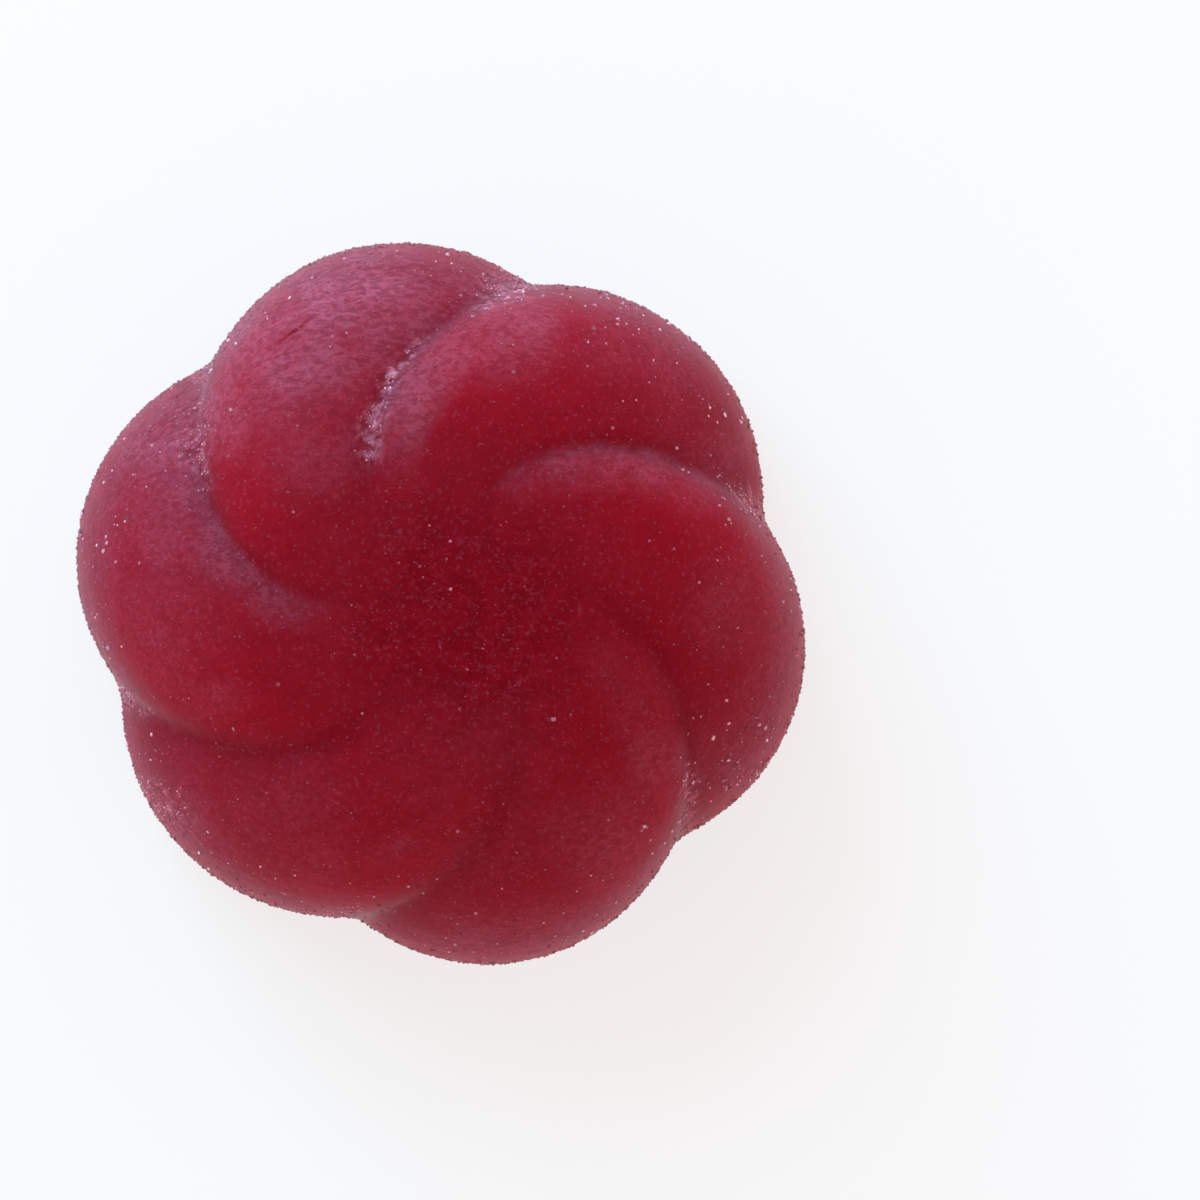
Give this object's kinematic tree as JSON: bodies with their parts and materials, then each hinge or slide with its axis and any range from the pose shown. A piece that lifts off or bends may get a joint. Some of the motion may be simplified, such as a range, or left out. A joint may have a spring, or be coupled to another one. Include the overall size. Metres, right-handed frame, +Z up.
{
  "type": "gummy supplement",
  "caption": "Swirled, lobed dome of firm red fruit jelly with a fine dusting of sugar: a chewable supplement sweet that rests on its flat base.",
  "frame": {"origin": "middle of the bounding box on the flat base", "axes": "+Z up from the flat base through the top of the dome; +Y points to the top of the picture and +X to its right"},
  "size_m": [0.0222, 0.022, 0.0092],
  "materials": {
    "jelly": "soft translucent crimson fruit jelly with a satin bloom and a dusting of fine sugar",
    "sugar": "fine dry sugar crystals, pale and slightly stained pink by the jelly"
  },
  "bodies": {
    "root": {"jelly": "jelly"}
  },
  "joints": []
}
